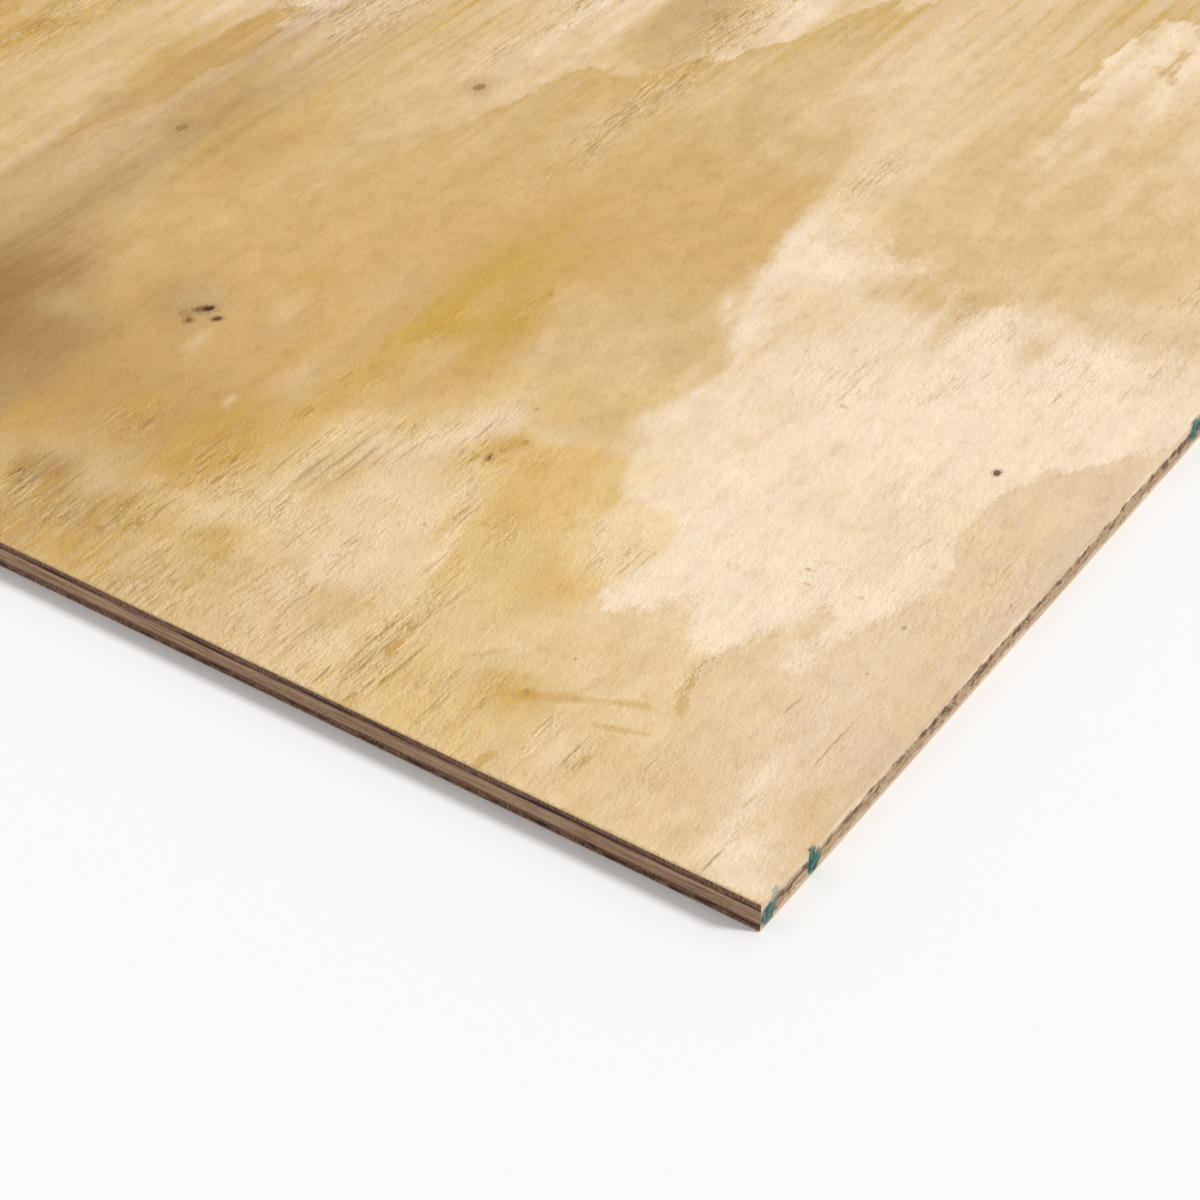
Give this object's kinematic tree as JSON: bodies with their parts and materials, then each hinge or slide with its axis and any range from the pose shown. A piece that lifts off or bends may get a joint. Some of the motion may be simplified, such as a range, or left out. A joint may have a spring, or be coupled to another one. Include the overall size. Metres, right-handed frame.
{
  "type": "plywood sheet",
  "caption": "Full-size flat sheet of unsanded softwood structural plywood, square-cut, with its crossed plies showing on every edge.",
  "frame": {"origin": "centre of the sheet's underside", "axes": "+Z out of the face veneer, +Y along the sheet's length and the face grain, +X across its width"},
  "size_m": [1.219, 2.438, 0.0119],
  "materials": {
    "face_wood": "bare unsanded pine veneer, cream with golden-tan growth-ring figure, matt with a faint fibre sheen",
    "core_wood": "sawn cross-grain pine veneer, light brown and rough, with dark glue lines",
    "back_wood": "bare unsanded pine veneer of a plainer, knottier grade, matt and rough"
  },
  "bodies": {
    "root": {"back_veneer": "back_wood", "core_veneer_lower": "core_wood", "core_veneer_upper": "core_wood", "face_veneer": "face_wood"}
  },
  "joints": []
}
